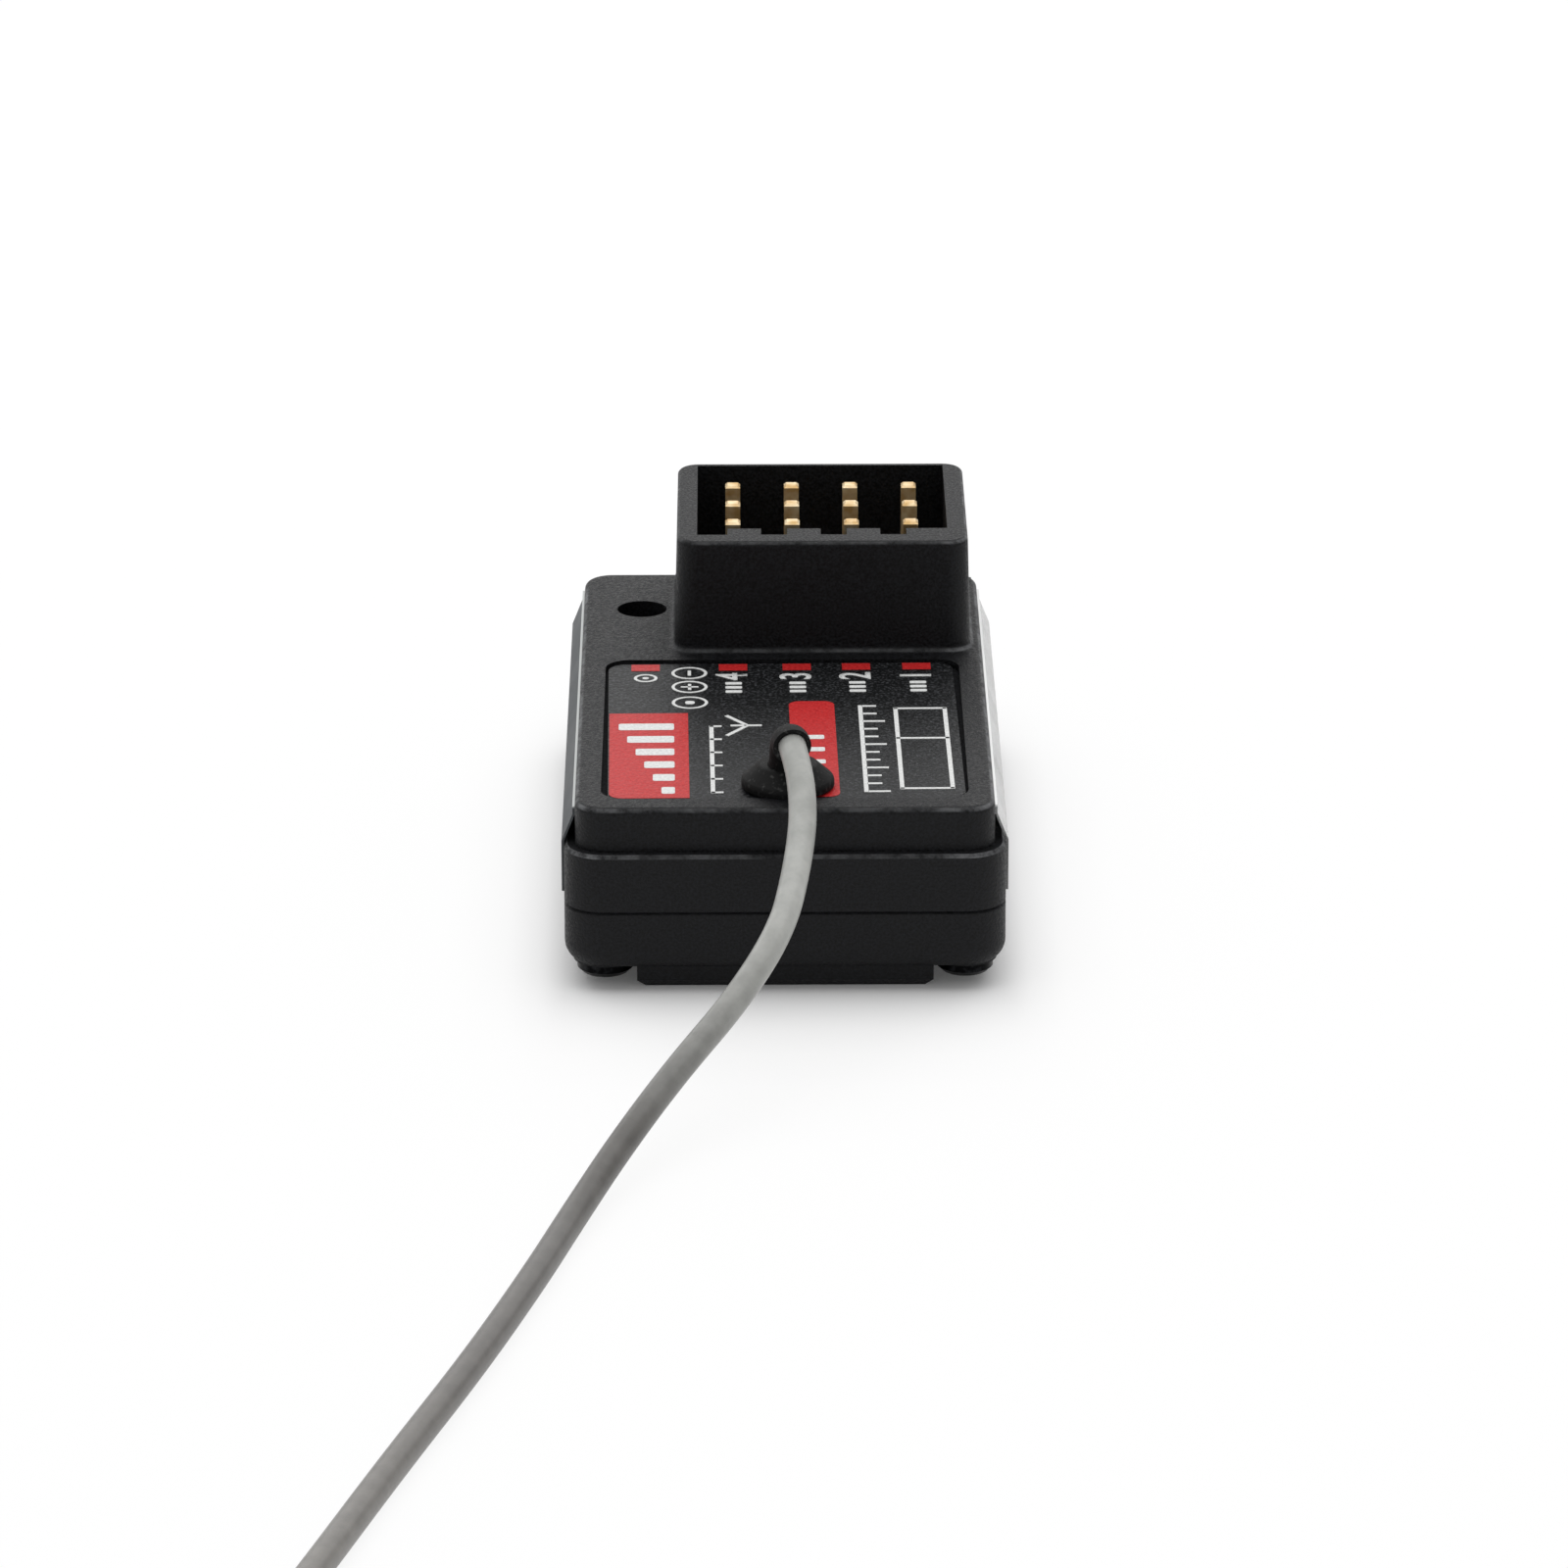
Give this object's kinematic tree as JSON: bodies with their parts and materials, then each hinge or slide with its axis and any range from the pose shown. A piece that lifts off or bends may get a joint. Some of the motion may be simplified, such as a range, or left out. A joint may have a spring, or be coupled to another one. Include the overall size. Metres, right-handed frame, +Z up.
{
  "type": "rc receiver",
  "caption": "Radio-control receiver in a small two-part black case with an upright servo socket block, a status lamp hole and a rubber-grommeted coaxial antenna.",
  "frame": {"origin": "bottom centre of the case footprint, on the surface that the pad rests on", "axes": "+Z up out of the servo sockets, +Y along the case towards the sockets, -Y towards the antenna, +X to the right seen from the antenna end"},
  "size_m": [0.0387, 0.1087, 0.0128],
  "materials": {
    "case_plastic": "fine-textured moulded ABS, black",
    "header_plastic": "moulded glass-filled nylon, black",
    "pin_gold": "gold-flashed drawn brass",
    "screw_steel": "black-zinc plated steel",
    "seal_silicone": "grey silicone",
    "board_mask": "green solder mask on glass-epoxy board",
    "label_vinyl": "satin laminated vinyl with white and red print",
    "film_clear": "thin silvery polyester film",
    "grommet_rubber": "moulded rubber, satin",
    "coax_jacket": "smooth light-grey fluoropolymer jacket",
    "element_core": "clear-white insulated core",
    "tie_plastic": "plastic-coated wire tie, black",
    "connector_metal": "gold-flashed stamped brass",
    "can_metal": "tinned steel sheet",
    "chip_resin": "moulded epoxy",
    "crystal_metal": "nickel-plated lid",
    "ferrite": "pressed ferrite",
    "tantalum_resin": "moulded yellow epoxy",
    "ceramic_brown": "fired ceramic",
    "resistor_black": "glazed film on ceramic",
    "led_resin": "clear red epoxy"
  },
  "bodies": {
    "root": {"top_shell": "case_plastic", "bottom_shell": "case_plastic", "case_seal": "seal_silicone", "case_screws": "screw_steel", "circuit_board": "board_mask", "header_strip_signal": "header_plastic", "header_strip_power": "header_plastic", "header_strip_ground": "header_plastic", "signal_pins": "pin_gold", "power_pins": "pin_gold", "ground_pins": "pin_gold", "top_label": "label_vinyl", "side_film_left": "film_clear", "side_film_right": "film_clear", "antenna_grommet": "grommet_rubber", "coax_socket": "connector_metal", "coax_plug": "connector_metal", "coax_inner_lead": "coax_jacket", "antenna_coax": "coax_jacket", "antenna_coil": "coax_jacket", "antenna_element": "element_core", "coil_tie": "tie_plastic", "rf_shield_can": "can_metal", "rf_transceiver": "chip_resin", "microcontroller": "chip_resin", "crystal": "crystal_metal", "voltage_regulator": "chip_resin", "power_inductor": "ferrite", "tantalum_capacitor": "tantalum_resin", "chip_capacitors": "ceramic_brown", "chip_resistors": "resistor_black", "status_led": "led_resin"}
  },
  "joints": []
}
